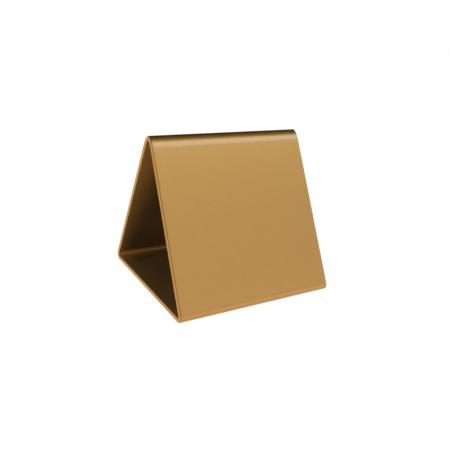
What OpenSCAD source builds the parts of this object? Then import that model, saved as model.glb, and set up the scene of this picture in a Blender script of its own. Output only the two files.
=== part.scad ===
// Place card holder: a strip of sheet metal folded into a three-sided sleeve that is open at both
// ends and stands on its base panel. A folded card sits over the ridge, or the name goes on a
// sloping face. X runs along the ridge, -Y is the front, Z is up, and the origin is on the table
// under the middle of the sleeve.

/* [Sleeve] */
// Width of the sleeve along its ridge, from rim to rim
sleeve_w = 60; // [30:1:120]
// Depth of the sleeve from front to back, over its base bends
sleeve_d = 57.5; // [35:0.5:110]
// Height of the sleeve from its underside to the top of its ridge
sleeve_h = 55; // [35:0.5:110]
// Thickness of the sheet
sheet_t = 1.5; // [1:0.1:2.5]
// Size of the bevel that takes the burr off the edges of both rims
rim_bevel = 0.2; // [0.1:0.05:0.45]

/* [Bends] */
// Inner radius of the bend along the ridge
ridge_bend_r = 1.5; // [0.8:0.1:5]
// Inner radius of the two bends along the base
base_bend_r = 0.5; // [0.3:0.1:3]

/* [Closing weld] */
// Width of the weld that joins the two ends of the strip under the sleeve
weld_w = 1.2; // [0.6:0.1:3]

/* [Pads] */
// Diameter of each stick-on pad
pad_d = 8; // [4:0.5:12]
// Thickness of a pad, which is the gap under the base panel
pad_t = 1; // [0.5:0.1:2]
// Rounding of a pad's lower edge
pad_round_r = 0.3; // [0.1:0.05:0.45]
// Margin from a pad to the rim and to the start of a base bend
pad_margin = 3; // [1:0.5:5]

/* [Hidden] */
$fn = 96;

metal_colour = "#bf9358";
weld_colour = "#b58a50";
pad_colour = "#c9ccc9";

// A bend's circle stands this proud of the panels that touch it, so that they meet in one line.
hair = 0.001;
// How far a cutter runs past what it cuts.
overrun = 0.2;

// The sleeve is drawn as its end view, [across to the back, up], and then given its width.
// These are the middles of its bends.
ridge_mid = [0, pad_t + sleeve_h - sheet_t - ridge_bend_r];
back_mid = [sleeve_d / 2 - sheet_t - base_bend_r, pad_t + sheet_t + base_bend_r];
front_mid = [-back_mid.x, back_mid.y];

// A sloping panel touches the ridge bend and a base bend. It is steeper than the line between
// their middles when the ridge bend is the wider one.
bend_gap = ridge_mid - back_mid;
slope = atan2(bend_gap.y, -bend_gap.x) + asin((ridge_bend_r - base_bend_r) / norm(bend_gap));

// A panel's facing is the direction in the end view that its outer face looks in.
front_facing = 90 + slope;
back_facing = 90 - slope;
base_facing = -90;

// The strip goes round the end view counter-clockwise. Each bend has its middle, its inner radius,
// and the facings of the panel before it and of the panel after it.
full_turn = 360;
bends = [
    [back_mid, base_bend_r, base_facing, back_facing],
    [ridge_mid, ridge_bend_r, back_facing, front_facing],
    [front_mid, base_bend_r, front_facing, base_facing + full_turn]
];

pad_mid = [sleeve_w / 2 - pad_margin - pad_d / 2, back_mid.x - pad_margin - pad_d / 2];

// Where a panel that looks along facing touches the circle of radius r round a bend's middle.
function touch(mid, r, facing) = mid + r * [cos(facing), sin(facing)];

// Gives an end view its width and stands it up, so that the ridge runs along X.
module across_width()
    rotate([90, 0, 90])
        linear_extrude(sleeve_w, center = true)
            children();

// The end view of the sleeve's inner face, or of its outer face with the sheet's thickness added.
module face_outline(thickness) {
    polygon([
        for (bend = bends, facing = [bend[2], bend[3]])
            touch(bend[0], bend[1] + thickness, facing)
    ]);
    for (bend = bends)
        translate(bend[0]) circle(bend[1] + thickness + hair);
}

// The end view of the weld, which fills the gap between the strip's two ends.
module weld_outline()
    translate([-weld_w / 2, pad_t])
        square([weld_w, sheet_t]);

// What the right rim's bevel takes off a face, as [distance from the face, along the ridge]. The
// face is at face_at, and out is 1 where it looks away from the sleeve's hollow and -1 into it.
module bevel_profile(face_at, out) {
    clear = face_at + out * overrun;
    deep = face_at - out * (rim_bevel + overrun);
    past_rim = sleeve_w / 2 + overrun;
    polygon([[clear, past_rim], [deep, past_rim], [clear, past_rim - rim_bevel - 2 * overrun]]);
}

// Cutters for the right rim's outer edge, or with out at -1 for its inner edge. Where they meet,
// the straight ones run on past a bend's outside, and the round ones run on past its inside.
module rim_cutters(out) {
    thickness = out > 0 ? sheet_t : 0;
    past_panel = out > 0 ? overrun : 0;
    for (i = [0 : len(bends) - 1]) {
        bend = bends[i];
        next = bends[(i + 1) % len(bends)];
        r = bend[1] + thickness;
        past_bend = out > 0 ? 0 : asin(overrun / r);
        translate(bend[0]) rotate(bend[2] - past_bend)
            rotate_extrude(angle = bend[3] - bend[2] + 2 * past_bend)
                bevel_profile(r + hair, out);
        panel_start = touch(bend[0], r, bend[3]);
        panel_end = touch(next[0], next[1] + thickness, bend[3]);
        translate((panel_start + panel_end) / 2) rotate([90, 0, bend[3]])
            linear_extrude(norm(panel_end - panel_start) + 2 * past_panel, center = true)
                bevel_profile(0, out);
    }
}

// Takes the burr off both rims of what is given.
module with_bevelled_rims()
    difference() {
        children();
        for (side = [0, 1])
            mirror([side, 0, 0]) rotate([90, 0, 90]) {
                rim_cutters(1);
                rim_cutters(-1);
            }
    }

// One strip, bent at the back of the base, over the ridge and at the front of the base.
module folded_sleeve()
    color(metal_colour)
        with_bevelled_rims()
            across_width()
                difference() {
                    face_outline(sheet_t);
                    face_outline(0);
                    weld_outline();
                }

// The weld between the two ends of the strip, ground flush above, below and at both rims.
module closing_weld()
    color(weld_colour)
        with_bevelled_rims()
            across_width()
                weld_outline();

// A stick-on pad: a disc with its lower edge rounded, face to face with the base panel.
module pad(along, across)
    color(pad_colour)
        translate([along * pad_mid.x, across * pad_mid.y, 0])
            rotate_extrude() {
                square([pad_d / 2 - pad_round_r, pad_t]);
                translate([0, pad_round_r])
                    square([pad_d / 2, pad_t - pad_round_r]);
                translate([pad_d / 2 - pad_round_r, pad_round_r])
                    circle(pad_round_r);
            }

module pad_front_left() pad(-1, -1);
module pad_front_right() pad(1, -1);
module pad_back_left() pad(-1, 1);
module pad_back_right() pad(1, 1);

folded_sleeve();
closing_weld();
pad_front_left();
pad_front_right();
pad_back_left();
pad_back_right();
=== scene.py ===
import math

import bpy
from mathutils import Matrix, Vector


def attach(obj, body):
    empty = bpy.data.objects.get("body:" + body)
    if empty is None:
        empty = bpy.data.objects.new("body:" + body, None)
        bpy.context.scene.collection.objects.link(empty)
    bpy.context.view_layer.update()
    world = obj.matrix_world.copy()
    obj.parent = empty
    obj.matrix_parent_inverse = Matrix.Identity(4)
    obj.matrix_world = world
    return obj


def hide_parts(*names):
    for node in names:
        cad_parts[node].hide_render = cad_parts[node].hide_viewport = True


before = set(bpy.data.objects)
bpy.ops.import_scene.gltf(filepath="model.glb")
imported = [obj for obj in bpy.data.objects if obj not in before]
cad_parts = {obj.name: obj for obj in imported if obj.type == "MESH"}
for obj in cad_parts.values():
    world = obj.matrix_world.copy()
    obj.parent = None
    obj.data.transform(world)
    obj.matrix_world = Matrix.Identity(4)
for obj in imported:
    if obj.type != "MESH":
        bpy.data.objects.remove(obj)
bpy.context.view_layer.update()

MM = 0.001

# The sleeve's sizes in the CAD model. Each radius is that of a bend's outer face, and the
# underside is as high as the pads are thick.
SLEEVE_WIDTH = 60 * MM
SLEEVE_DEPTH = 57.5 * MM
SLEEVE_HEIGHT = 55 * MM
SHEET = 1.5 * MM
RIDGE_RADIUS = 3.0 * MM
BASE_RADIUS = 2.0 * MM
UNDERSIDE = 1.0 * MM
WELD_WIDTH = 1.2 * MM

# What only the looks have: a back base bend a little softer than the front one, and rims with
# their edges rounded.
BACK_BASE_RADIUS = 2.4 * MM
RIM_ROUND = 0.22 * MM

# The ridge has a small nose, and its flanks roll out softly into the panels. The places are
# distances from the ridge line along the outer face.
NOSE_CURVATURE = 0.5 / MM
FLANK_CURVATURE = 0.124 / MM
NOSE_END = 1.105 * MM
FLANK_START = 1.605 * MM
FLANK_END = 4.0 * MM
PANEL_START = 5.52 * MM

# The meshes' steps: round a rim's edge, round half of the ridge, round a base bend, along a flat
# stretch, along the ridge and across the weld.
RIM_STEPS = 6
RIDGE_STEPS = 48
BASE_STEPS = 36
PANEL_STEPS = 24
WIDTH_STEPS = 24
WELD_STEPS = 6


# Shapes of the strip and of the weld

# The curvature of the ridge's outer face at some distances from the ridge line. It runs straight
# from each to the next.
RIDGE_CURVATURES = (
    (0.0, NOSE_CURVATURE),
    (NOSE_END, NOSE_CURVATURE),
    (FLANK_START, FLANK_CURVATURE),
    (FLANK_END, FLANK_CURVATURE),
    (PANEL_START, 0.0),
)

# The strip's inner face is where its normal points into the sleeve at least this squarely.
INWARD = 0.999


def polar(angle):
    """The unit vector of the end view at that angle, as (across to the back, up)."""
    return Vector((math.cos(angle), math.sin(angle)))


def panel_slope():
    """The slope of the two leaning panels, which touch the CAD model's ridge and base bends."""
    across = SLEEVE_DEPTH / 2 - BASE_RADIUS
    rise = SLEEVE_HEIGHT - RIDGE_RADIUS - BASE_RADIUS
    lean = math.asin((RIDGE_RADIUS - BASE_RADIUS) / math.hypot(across, rise))
    return math.atan2(rise, across) + lean


def ridge_curvature(distance):
    """The curvature of the outer face at a distance from the ridge line, up to the panel."""
    stretches = zip(RIDGE_CURVATURES, RIDGE_CURVATURES[1:])
    (start, before), (end, after) = next(ends for ends in stretches if distance <= ends[1][0])
    return before + (after - before) * (distance - start) / (end - start)


def half_ridge(slope):
    """The ridge's outer face from its top to where the panel is flat, as (point, facing) pairs.

    The points count from the top, across and down, and the facing is the angle from straight up.
    All the turns together are brought to the panel's slope.
    """
    step = PANEL_START / RIDGE_STEPS
    turns = [ridge_curvature((i + 0.5) * step) * step for i in range(RIDGE_STEPS)]
    fit = slope / sum(turns)
    facing = 0.0
    point = Vector((0, 0))
    half = [(point.copy(), facing)]
    for turn in turns:
        middle = facing + turn * fit / 2
        point += step * Vector((math.cos(middle), -math.sin(middle)))
        facing += turn * fit
        half.append((point.copy(), facing))
    return half


def arc(middle, radius, first, last):
    """(point, outward unit vector) pairs round a base bend's outer face, counter-clockwise."""
    outs = [polar(first + (last - first) * i / BASE_STEPS) for i in range(BASE_STEPS + 1)]
    return [(middle + radius * out, out) for out in outs]


def between(start, end, out):
    """(point, outward unit vector) pairs along a flat stretch, without its two ends."""
    return [(start.lerp(end, i / PANEL_STEPS), out) for i in range(1, PANEL_STEPS)]


def half_path(base_radius):
    """The back half of the strip's outer face in the end view, from the weld to the ridge's top.

    Gives (point, outward unit vector) pairs. The base bend has that outer radius, and the panels
    lie in the planes that the CAD model has them in, whatever the radius is.
    """
    slope = panel_slope()
    facing = math.pi / 2 - slope
    down = polar(-math.pi / 2)
    out = polar(facing)
    cad_middle = Vector((SLEEVE_DEPTH / 2 - BASE_RADIUS, UNDERSIDE + BASE_RADIUS))
    reach = cad_middle.dot(out) + BASE_RADIUS
    height = UNDERSIDE + base_radius
    middle = Vector(((reach - base_radius - height * out.y) / out.x, height))
    bend = arc(middle, base_radius, -math.pi / 2, facing)
    # the ridge's end lies in the panel's outer face, which sets the height of its top
    ridge = half_ridge(slope)
    top = Vector((0, (reach - ridge[-1][0].dot(out)) / out.y))
    ridge = [(top + point, polar(math.pi / 2 - turned)) for point, turned in ridge[::-1]]

    start = Vector((WELD_WIDTH / 2, UNDERSIDE))
    base = [(start, down)] + between(start, bend[0][0], down)
    return base + bend + between(bend[-1][0], ridge[0][0], out) + ridge


def strip_path():
    """The strip's outer face in the end view, counter-clockwise from weld to weld."""
    front = [
        (Vector((-point.x, point.y)), Vector((-out.x, out.y)))
        for point, out in half_path(BASE_RADIUS)
    ]
    # the front half goes down from the ridge's top, which the back half has already
    return half_path(BACK_BASE_RADIUS) + front[-2::-1]


def weld_path():
    """The weld's outer face in the end view, from its front side to its back side."""
    down = Vector((0, -1))
    across = [-WELD_WIDTH / 2 + WELD_WIDTH * i / WELD_STEPS for i in range(WELD_STEPS + 1)]
    return [(Vector((place, UNDERSIDE)), down) for place in across]


def strip_section():
    """The strip's cross-section as (along the ridge, out of the inner face), with its normals.

    It is a long rectangle with rounded corners, and starts at the right end of the inner face.
    """
    reach = SLEEVE_WIDTH / 2 - RIM_ROUND
    # each corner's middle, the angle that its rounding starts at, and whether a wide face follows
    corners = [
        (Vector((reach, RIM_ROUND)), -90, False),
        (Vector((reach, SHEET - RIM_ROUND)), 0, True),
        (Vector((-reach, SHEET - RIM_ROUND)), 90, False),
        (Vector((-reach, RIM_ROUND)), 180, True),
    ]
    section = []
    for middle, first, face_follows in corners:
        for i in range(RIM_STEPS + 1):
            normal = polar(math.radians(first + 90 * i / RIM_STEPS))
            section.append((middle + RIM_ROUND * normal, normal))
        if face_follows:
            start, normal = section[-1]
            for i in range(1, WIDTH_STEPS):
                along = start.x * (1 - 2 * i / WIDTH_STEPS)
                section.append((Vector((along, start.y)), normal))
    return section


def smooth_mesh(name, vertices, normals, faces, inside):
    """A smooth piece with those normals. Its attribute inside is 1 on the strip's inner face."""
    mesh = bpy.data.meshes.new(name)
    mesh.from_pydata(vertices, [], faces)
    mesh.attributes.new("inside", "FLOAT", "POINT").data.foreach_set("value", inside)
    for polygon in mesh.polygons:
        polygon.use_smooth = True
    mesh.normals_split_custom_set_from_vertices(normals)
    piece = bpy.data.objects.new(name, mesh)
    bpy.context.scene.collection.objects.link(piece)
    return piece


def swept(name, path):
    """The strip's cross-section carried along a path of the end view, with its two ends capped."""
    section = strip_section()
    count = len(section)
    vertices = []
    normals = []
    inside = []
    for point, out in path:
        for place, normal in section:
            at = point + out * (place.y - SHEET)
            facing = out * normal.y
            vertices.append((place.x, at.x, at.y))
            normals.append((normal.x, facing.x, facing.y))
            inside.append(1.0 if normal.y < -INWARD else 0.0)
    faces = []
    for ring in range(len(path) - 1):
        here = ring * count
        ahead = here + count
        for i in range(count):
            j = (i + 1) % count
            faces.append((here + i, here + j, ahead + j, ahead + i))
    # the caps have vertices of their own, so that their edges stay sharp
    for ring, sense in ((0, -1), (len(path) - 1, 1)):
        out = path[ring][1]
        along = Vector((-out.y, out.x)) * sense
        first = len(vertices)
        for i in range(count):
            vertices.append(vertices[ring * count + i])
            normals.append((0, along.x, along.y))
            inside.append(inside[ring * count + i])
        faces.append(list(range(first, first + count))[::sense])
    return smooth_mesh(name, vertices, normals, faces, inside)


sleeve = swept("sleeve", strip_path())
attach(sleeve, "root")
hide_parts("folded_sleeve")

weld = swept("weld", weld_path())
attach(weld, "root")
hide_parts("closing_weld")


# Node trees


def rgba(r, g, b):
    """An opaque colour."""
    return (r, g, b, 1.0)


WHITE = rgba(1, 1, 1)


class Nodes:
    """A tree of shader nodes, built up node by node around one kind of coordinates."""

    def __init__(self, tree, coordinates="Object"):
        self.tree = tree
        self.place = self.node("ShaderNodeTexCoord").outputs[coordinates]

    def node(self, kind, **values):
        """A new node, with its properties set to those values."""
        made = self.tree.nodes.new(kind)
        for key, value in values.items():
            setattr(made, key, value)
        return made

    def feed(self, socket, value):
        """Links a socket to a node's output, or sets it to a plain value."""
        if isinstance(value, bpy.types.NodeSocket):
            self.tree.links.new(value, socket)
        else:
            socket.default_value = value

    def axis(self, name):
        """The X, Y or Z of the place that is being shaded."""
        made = self.node("ShaderNodeSeparateXYZ")
        self.feed(made.inputs["Vector"], self.place)
        return made.outputs[name]

    def math(self, operation, a, b=0.0):
        """The outcome of a Math node."""
        made = self.node("ShaderNodeMath", operation=operation)
        self.feed(made.inputs[0], a)
        self.feed(made.inputs[1], b)
        return made.outputs["Value"]

    def ramp(self, value, low, high, out_low=0.0, out_high=1.0, kind="LINEAR"):
        """Maps low..high to out_low..out_high and holds it there beyond."""
        made = self.node("ShaderNodeMapRange", interpolation_type=kind)
        self.feed(made.inputs["Value"], value)
        limits = {"From Min": low, "From Max": high, "To Min": out_low, "To Max": out_high}
        for socket, limit in limits.items():
            made.inputs[socket].default_value = limit
        return made.outputs["Result"]

    def spread(self, value, low, high, out_low=0.0, out_high=1.0):
        """A ramp that starts and ends softly."""
        return self.ramp(value, low, high, out_low, out_high, "SMOOTHSTEP")

    def noise(self, size, detail=2.0, roughness=0.5, scale=None):
        """Noise from 0 to 1 with lumps of about that size in metres.

        A scale multiplies the place first, so lumps are longer along an axis where it is small.
        """
        place = self.place
        if scale:
            mapping = self.node("ShaderNodeMapping")
            self.feed(mapping.inputs["Scale"], scale)
            self.feed(mapping.inputs["Vector"], place)
            place = mapping.outputs["Vector"]
        made = self.node("ShaderNodeTexNoise")
        self.feed(made.inputs["Vector"], place)
        self.feed(made.inputs["Scale"], 1 / size)
        self.feed(made.inputs["Detail"], detail)
        self.feed(made.inputs["Roughness"], roughness)
        return made.outputs["Fac"]

    def patches(self, size, detail=2.0, roughness=0.5, band=(0.3, 0.7), levels=(0.0, 1.0)):
        """Noise with a band of it spread from one level to the other.

        The plain band has most of the noise in it.
        """
        return self.spread(self.noise(size, detail, roughness), *band, *levels)

    def mix(self, factor, a, b):
        """The colour a where factor is 0 and b where it is 1."""
        made = self.node("ShaderNodeMix", data_type="RGBA")
        self.feed(made.inputs["Factor"], factor)
        for name, colour in (("A", a), ("B", b)):
            socket = next(s for s in made.inputs if s.name == name and s.type == "RGBA")
            self.feed(socket, colour)
        return next(s for s in made.outputs if s.type == "RGBA")

    def scaled(self, colour, value):
        """A colour times a value."""
        made = self.node("ShaderNodeVectorMath", operation="SCALE")
        self.feed(made.inputs[0], colour)
        self.feed(made.inputs["Scale"], value)
        return made.outputs["Vector"]

    def seen(self):
        """1 for rays by which the camera, metal or glass sees a surface, 0 for the others."""
        path = self.node("ShaderNodeLightPath")
        total = path.outputs["Is Camera Ray"]
        for name in ("Is Glossy Ray", "Is Transmission Ray"):
            total = self.math("MAXIMUM", total, path.outputs[name])
        return total


class Surface(Nodes):
    """A material with one Principled shader."""

    def __init__(self, name, **constants):
        self.material = bpy.data.materials.new(name)
        self.material.use_nodes = True
        super().__init__(self.material.node_tree)
        self.shader = self.tree.nodes["Principled BSDF"]
        for socket, value in constants.items():
            self.give(socket.replace("_", " "), value)

    def give(self, name, value):
        """Links or sets one of the shader's own sockets."""
        self.feed(self.shader.inputs[name], value)

    def bump(self, height, distance):
        """The normals of a relief that is that deep where height goes from 0 to 1."""
        made = self.node("ShaderNodeBump")
        self.feed(made.inputs["Strength"], 1.0)
        self.feed(made.inputs["Distance"], distance)
        self.feed(made.inputs["Height"], height)
        return made.outputs["Normal"]


# The gold coating

# Its colours outside: two tones of the faces, the cut edges, a painted shade along the left end of
# the faces, and a painted shade along the base bends.
GOLD_PINK = rgba(0.646, 0.307, 0.034)
GOLD_YELLOW = rgba(0.638, 0.309, 0.033)
GOLD_RIM = rgba(0.54, 0.262, 0.040)
GOLD_LEFT_EDGE_SHADE = rgba(0.455, 0.205, 0.014)
GOLD_FOOT_SHADE = rgba(0.42, 0.188, 0.015)

# And inside: painted shade far in, painted light near the mouths and on the base panel, and painted
# highlights in the base bends.
GOLD_DEEP_SHADE = rgba(0.295, 0.225, 0.12)
GOLD_MOUTH_LIGHT = rgba(0.99, 0.60, 0.19)
GOLD_BED_LIGHT = rgba(0.66, 0.50, 0.27)
GOLD_BEND_HIGHLIGHT = rgba(1.0, 0.60, 0.17)

# The sizes of its noise, and the relief's depth.
MOTTLE_SIZE = 9 * MM
SPECKLE_SIZE = 0.55 * MM
EDGE_PATCH_SIZE = 1.5 * MM
GRAIN_SIZE = 0.35 * MM
RELIEF_SIZE = 0.22 * MM
RELIEF_DEPTH = 0.004 * MM
MARK_SIZE = 0.15 * MM
MARK_SCALE = (0.04, 1, 1)

# The bands of the noise that show as patches, and the levels between which a look varies.
MOTTLE_BAND = (0.35, 0.65)
SPECKLE_LEVELS = (0.955, 1.045)
EDGE_PATCH_BAND = (0.2, 0.6)
EDGE_PATCH_LEVELS = (0.85, 1.0)
GRAIN_ROUGHNESS = (0.34, 0.40)
RIM_ROUGHER = 0.05

# Where one look goes over into another, as (start, end). The painted shade at the left end is a
# place along the ridge, and the others here are distances along it from the middle: the rims, the
# painted light at the mouths, and what the mouths change in the base panel's painted light and in
# the painted bend highlights.
HALF_WIDTH = SLEEVE_WIDTH / 2
LEFT_EDGE_SHADE_FADE = (0.40 * MM - HALF_WIDTH, 0.60 * MM - HALF_WIDTH)
RIM_FADE = (HALF_WIDTH - 0.8 * RIM_ROUND, HALF_WIDTH - 0.2 * RIM_ROUND)
MOUTH_LIGHT_FADE = (24 * MM, 41 * MM)
BED_LIGHT_MOUTH_FADE = (18 * MM, 28 * MM)
BEND_HIGHLIGHT_MOUTH_FADE = (8 * MM, 28 * MM)

# These are heights: the painted shade on the base bends, the base panel's inner face and its
# painted light, the lower and the upper edge of the painted bend highlights, and the space under
# the ridge.
BED_TOP = UNDERSIDE + SHEET
FOOT_SHADE_FADE = (UNDERSIDE + 0.8 * MM, UNDERSIDE + 3.6 * MM)
BED_LIGHT_FADE = (BED_TOP + 0.1 * MM, BED_TOP + 1.5 * MM)
BEND_HIGHLIGHT_LOW_FADE = (BED_TOP, BED_TOP + 0.15 * MM)
BEND_HIGHLIGHT_HIGH_FADE = (BED_TOP + 1.0 * MM, BED_TOP + 2.2 * MM)
UNDER_RIDGE_FADE = (30 * MM, 52 * MM)

# And this is a place from front to back: the strip of painted shade on the base panel along the
# back bend.
BACK_SHADE_STRIP_FADE = (17 * MM, 24 * MM)

# The painted light at the mouths reaches further in with the height, and by this much more under
# the ridge.
REACH_PER_HEIGHT = 0.21
RIDGE_REACH = 4 * MM

# How much is left of the base panel's painted light in that strip, and of the painted bend
# highlights far from the mouths.
BACK_SHADE_STRIP_LEVEL = 0.45
DEEP_BEND_HIGHLIGHT_LEVEL = 0.35

# How much of the clear coat is gone: inside, in the painted bend highlights, and in the painted
# shade at the left end and along the base bends.
DRY_INSIDE = 0.9
DRY_BEND_HIGHLIGHT = 0.3
DRY_LEFT_EDGE_SHADE = 0.8
DRY_FOOT_SHADE = 0.75


def bend_highlights(metal, from_middle):
    """Painted highlights inside the base bends, brightest near the mouths."""
    height = metal.axis("Z")
    above = metal.spread(height, *BEND_HIGHLIGHT_LOW_FADE)
    below = metal.spread(height, *BEND_HIGHLIGHT_HIGH_FADE, 1, 0)
    level = metal.spread(from_middle, *BEND_HIGHLIGHT_MOUTH_FADE, DEEP_BEND_HIGHLIGHT_LEVEL, 1.0)
    return metal.math("MULTIPLY", metal.math("MULTIPLY", above, below), level)


def outer_colour(metal, rim, left_edge_shade, foot_shade):
    """The colour outside: mottled and speckled, with painted shade at the left end and along the
    base bends, duller on the rims.
    """
    mottle = metal.patches(MOTTLE_SIZE, detail=3, band=MOTTLE_BAND)
    speckle = metal.patches(SPECKLE_SIZE, detail=3, roughness=0.65, levels=SPECKLE_LEVELS)
    face = metal.scaled(metal.mix(mottle, GOLD_PINK, GOLD_YELLOW), speckle)
    # the face darkened by painted shade at the left end and along the base bends
    face_with_painted_shade = metal.mix(foot_shade, metal.mix(left_edge_shade, face, GOLD_LEFT_EDGE_SHADE), GOLD_FOOT_SHADE)
    return metal.mix(rim, face_with_painted_shade, GOLD_RIM)


def inner_colour(metal, from_middle, bend_highlight):
    """The colour inside: painted light at the two mouths, fading into painted shade further in."""
    height = metal.axis("Z")
    rise = metal.math("MULTIPLY", height, REACH_PER_HEIGHT)
    lift = metal.math("ADD", rise, metal.spread(height, *UNDER_RIDGE_FADE, 0, RIDGE_REACH))
    # painted light near the mouths, painted shade deeper in
    mouth_light = metal.spread(metal.math("ADD", from_middle, lift), *MOUTH_LIGHT_FADE)
    panels = metal.mix(mouth_light, GOLD_DEEP_SHADE, GOLD_MOUTH_LIGHT)
    # painted light makes the base panel paler, but less so along the back bend, where painted shade
    # lies, away from the mouths
    near_mouth = metal.spread(from_middle, *BED_LIGHT_MOUTH_FADE)
    off_strip = metal.spread(metal.axis("Y"), *BACK_SHADE_STRIP_FADE, 1.0, BACK_SHADE_STRIP_LEVEL)
    pale = metal.math("MAXIMUM", near_mouth, off_strip)
    bed_light = metal.math("MULTIPLY", pale, metal.spread(height, *BED_LIGHT_FADE, 1, 0))
    return metal.mix(bend_highlight, metal.mix(bed_light, panels, GOLD_BED_LIGHT), GOLD_BEND_HIGHLIGHT)


def gold(name, ground=False):
    """Bead-blasted metal with a matte gold coating: a rough metal under a clear, smoother coat."""
    metal = Surface(name, Metallic=1.0, Coat_Roughness=0.13, Coat_IOR=1.9)
    from_middle = metal.math("ABSOLUTE", metal.axis("X"))
    inside = metal.node("ShaderNodeAttribute", attribute_name="inside").outputs["Fac"]
    patchy = metal.patches(
        EDGE_PATCH_SIZE, detail=3, band=EDGE_PATCH_BAND, levels=EDGE_PATCH_LEVELS
    )
    rim = metal.math("MULTIPLY", metal.spread(from_middle, *RIM_FADE), patchy)
    # painted shade: a darker line on the faces along the left end only
    left_edge_shade = metal.spread(metal.axis("X"), *LEFT_EDGE_SHADE_FADE, 1, 0)
    # painted shade along the base bends, all round the sleeve
    foot_shade = metal.spread(metal.axis("Z"), *FOOT_SHADE_FADE, 1, 0)
    # painted highlights along the inside of the base bends
    bend_highlight = bend_highlights(metal, from_middle)
    outer = outer_colour(metal, rim, left_edge_shade, foot_shade)
    inner = inner_colour(metal, from_middle, bend_highlight)
    metal.give("Base Color", metal.mix(inside, outer, inner))

    # little of the clear coat is left inside, except in the painted bend highlights, on the rims,
    # and in the painted shade at the left end and along the base bends
    dry = metal.math("MULTIPLY", inside, metal.spread(bend_highlight, 0, 1, DRY_INSIDE, DRY_BEND_HIGHLIGHT))
    dry = metal.math("MAXIMUM", dry, rim)
    dry = metal.math("MAXIMUM", dry, metal.math("MULTIPLY", left_edge_shade, DRY_LEFT_EDGE_SHADE))
    dry = metal.math("MAXIMUM", dry, metal.math("MULTIPLY", foot_shade, DRY_FOOT_SHADE))
    metal.give("Coat Weight", metal.math("SUBTRACT", 1.0, dry))

    grain = metal.spread(metal.patches(GRAIN_SIZE), 0, 1, *GRAIN_ROUGHNESS)
    metal.give("Roughness", metal.math("ADD", grain, metal.math("MULTIPLY", rim, RIM_ROUGHER)))
    relief = metal.noise(RELIEF_SIZE)
    if ground:
        # a grinder's marks, drawn out along the weld, on its outer face and its ends
        marks = metal.noise(MARK_SIZE, scale=MARK_SCALE)
        outside = metal.math("SUBTRACT", 1.0, inside)
        relief = metal.math("ADD", relief, metal.math("MULTIPLY", marks, outside))
    normal = metal.bump(relief, RELIEF_DEPTH)
    metal.give("Normal", normal)
    metal.give("Coat Normal", normal)
    return metal.material


def dress(piece, material):
    """Gives a piece that material and no other."""
    piece.data.materials.clear()
    piece.data.materials.append(material)


dress(sleeve, gold("gold_sheet"))
dress(weld, gold("weld_metal", ground=True))


# The pads' milky clear plastic

PAD_DARK = rgba(0.60, 0.62, 0.60)
PAD_PALE = rgba(0.66, 0.68, 0.66)
PAD_CLOUD_SIZE = 2 * MM
PAD_SHEEN_SIZE = 0.4 * MM
PAD_ROUGHNESS = (0.3, 0.45)
PAD_RELIEF_SIZE = 0.3 * MM
PAD_RELIEF_DEPTH = 0.01 * MM


def clear_plastic(name):
    """A soft plastic that is a little cloudy, with an uneven sheen."""
    plastic = Surface(name)
    plastic.give("Base Color", plastic.mix(plastic.patches(PAD_CLOUD_SIZE), PAD_DARK, PAD_PALE))
    plastic.give("Roughness", plastic.patches(PAD_SHEEN_SIZE, levels=PAD_ROUGHNESS))
    plastic.give("Normal", plastic.bump(plastic.noise(PAD_RELIEF_SIZE), PAD_RELIEF_DEPTH))
    return plastic.material


clear_pad = clear_plastic("clear_pad")
for side in ("front_left", "front_right", "back_left", "back_right"):
    dress(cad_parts["pad_" + side], clear_pad)


# Floor and room

FLOOR_RADIUS = 4.0
FLOOR_SIDES = 96
FLOOR_HEIGHT = -0.01 * MM  # a hair under the pads, so that the two don't share a plane
FLOOR_GREY = rgba(0.25, 0.25, 0.25)

# Near the holder, where the lamps add to it, the floor's own glow is this strong. It grows to
# white between these two distances.
FLOOR_GLOW = 0.94
GLOW_NEAR = 0.12
GLOW_FAR = 0.5

# To all but the camera, the room is white below one elevation and dim above another.
ROOM_WHITE_BELOW = math.radians(2)
ROOM_DIM_ABOVE = math.radians(8)
ROOM_DIM = 0.03


def floor_material():
    """A grey that takes the holder's shadow, and a glow for rays that look at the floor."""
    material = bpy.data.materials.new("floor")
    material.use_nodes = True
    nodes = Nodes(material.node_tree)
    nodes.tree.nodes.remove(nodes.tree.nodes["Principled BSDF"])
    diffuse = nodes.node("ShaderNodeBsdfDiffuse")
    nodes.feed(diffuse.inputs["Color"], FLOOR_GREY)
    away = nodes.node("ShaderNodeVectorMath", operation="LENGTH")
    nodes.feed(away.inputs[0], nodes.place)
    level = nodes.ramp(away.outputs["Value"], GLOW_NEAR, GLOW_FAR, FLOOR_GLOW, 1.0)
    glow = nodes.node("ShaderNodeEmission")
    nodes.feed(glow.inputs["Color"], WHITE)
    nodes.feed(glow.inputs["Strength"], nodes.math("MULTIPLY", nodes.seen(), level))
    both = nodes.node("ShaderNodeAddShader")
    nodes.feed(both.inputs[0], diffuse.outputs["BSDF"])
    nodes.feed(both.inputs[1], glow.outputs["Emission"])
    nodes.feed(nodes.tree.nodes["Material Output"].inputs["Surface"], both.outputs["Shader"])
    return material


def round_floor():
    """A disc that reaches far past the holder on every side."""
    turns = [math.tau * i / FLOOR_SIDES for i in range(FLOOR_SIDES)]
    vertices = [
        (FLOOR_RADIUS * math.cos(turn), FLOOR_RADIUS * math.sin(turn), FLOOR_HEIGHT)
        for turn in turns
    ]
    mesh = bpy.data.meshes.new("floor")
    mesh.from_pydata(vertices, [], [list(range(FLOOR_SIDES))])
    mesh.materials.append(floor_material())
    made = bpy.data.objects.new("floor", mesh)
    bpy.context.scene.collection.objects.link(made)
    return made


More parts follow.
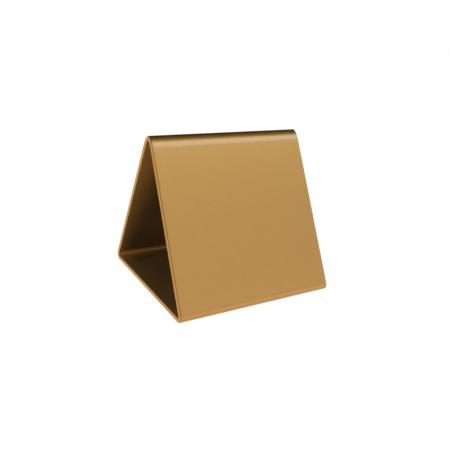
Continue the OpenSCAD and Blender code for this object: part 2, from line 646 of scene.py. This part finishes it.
def light_room():
    """A room that is white to the camera. Other rays find it white only low down, and dim above."""
    world = bpy.data.worlds.new("studio")
    world.use_nodes = True
    bpy.context.scene.world = world
    nodes = Nodes(world.node_tree, "Generated")
    low = math.sin(ROOM_WHITE_BELOW)
    high = math.sin(ROOM_DIM_ABOVE)
    level = nodes.ramp(nodes.axis("Z"), low, high, 1.0, ROOM_DIM)
    camera_ray = nodes.node("ShaderNodeLightPath").outputs["Is Camera Ray"]
    background = nodes.tree.nodes["Background"]
    nodes.feed(background.inputs["Color"], WHITE)
    nodes.feed(background.inputs["Strength"], nodes.math("MAXIMUM", camera_ray, level))


floor = round_floor()
light_room()


# Lamps

LAMP_DISTANCE = 0.9
LAMP_REACH = 1.3
AIM_HEIGHT = 30 * MM
PLAIN = (1, 1, 1)
WARM = (1.12, 0.84, 0.72)
COOL = (0.82, 1.0, 1.28)


def bar(name, low, high, radiance, along=(-LAMP_REACH, LAMP_REACH), front=True, tint=PLAIN):
    """A lamp beside the holder, parallel to its ridge, that fills low..high degrees of elevation.

    It runs from one distance along X to another, and stands in front of the holder or behind it.
    It looks as bright as radiance, where 1 is white.
    """
    elevation = math.radians((low + high) / 2)
    away = -math.cos(elevation) if front else math.cos(elevation)
    direction = Vector((0, away, math.sin(elevation))).normalized()
    width = along[1] - along[0]
    height = 2 * LAMP_DISTANCE * math.tan(math.radians(high - low) / 2)
    light = bpy.data.lights.new(name, "AREA")
    light.shape = "RECTANGLE"
    light.size = width
    light.size_y = height
    light.energy = radiance * math.pi * width * height
    light.color = tint
    lamp = bpy.data.objects.new(name, light)
    bpy.context.scene.collection.objects.link(lamp)
    aim = Vector(((along[0] + along[1]) / 2, 0, AIM_HEIGHT))
    lamp.location = aim + direction * LAMP_DISTANCE
    lamp.rotation_euler = direction.to_track_quat("Z", "Y").to_euler()
    lamp.visible_camera = False


# The two highest bars in front make the pale line along the ridge, which is warmer along its upper
# edge. The two behind leave out the stretch that the ridge's top would mirror to the camera, so
# that its dark line stays dark.
bar("front_top", low=66, high=71, radiance=0.85, tint=WARM)
bar("front_high", low=43.5, high=66, radiance=1.48, tint=COOL)
bar("front_middle", low=14, high=43.5, radiance=0.61)
bar("front_low", low=6, high=14, radiance=0.85)
bar("back_left", low=16, high=50, radiance=0.92, along=(-1.6, 0.15), front=False)
bar("back_right", low=16, high=50, radiance=0.95, along=(0.95, 1.8), front=False)


# Camera, as found from the photograph's straight edges and outline

# It stands to the left of the front and above, looks at the target and is rolled.
AZIMUTH = math.radians(31.6)
ELEVATION = math.radians(17.15)
ROLL = math.radians(3.7)
DISTANCE = 200.2 * MM
TARGET = Vector((1.157, 0, 31.8)) * MM
CLIP_START = 5 * MM

# In pixels: the photograph's side, the focal length, and the row that the camera's axis falls on.
PICTURE = 450
FOCAL_PIXELS = 540.3
CENTRE_ROW = 196.7

# In millimetres, as Blender counts a sensor.
SENSOR = 36.0


def camera_axes():
    """The camera's right, up and back, turned round Z, raised, and rolled round its own axis."""
    level = math.cos(ELEVATION)
    back = Vector((-math.sin(AZIMUTH) * level, -math.cos(AZIMUTH) * level, math.sin(ELEVATION)))
    side = (-back).cross(Vector((0, 0, 1))).normalized()
    above = side.cross(-back).normalized()
    right = side * math.cos(ROLL) + above * math.sin(ROLL)
    up = above * math.cos(ROLL) - side * math.sin(ROLL)
    return right, up, back


def place_camera():
    """Sets up the camera that sees the holder as the photograph does."""
    right, up, back = camera_axes()
    turned = Matrix((right, up, back)).transposed().to_4x4()
    camera = bpy.data.objects.new("camera", bpy.data.cameras.new("camera"))
    bpy.context.scene.collection.objects.link(camera)
    camera.data.sensor_width = SENSOR
    camera.data.lens = FOCAL_PIXELS / PICTURE * SENSOR
    camera.data.shift_y = (CENTRE_ROW - PICTURE / 2) / PICTURE
    camera.data.clip_start = CLIP_START
    camera.matrix_world = Matrix.Translation(TARGET + back * DISTANCE) @ turned
    bpy.context.scene.camera = camera


place_camera()
bpy.context.scene.view_settings.view_transform = "Standard"
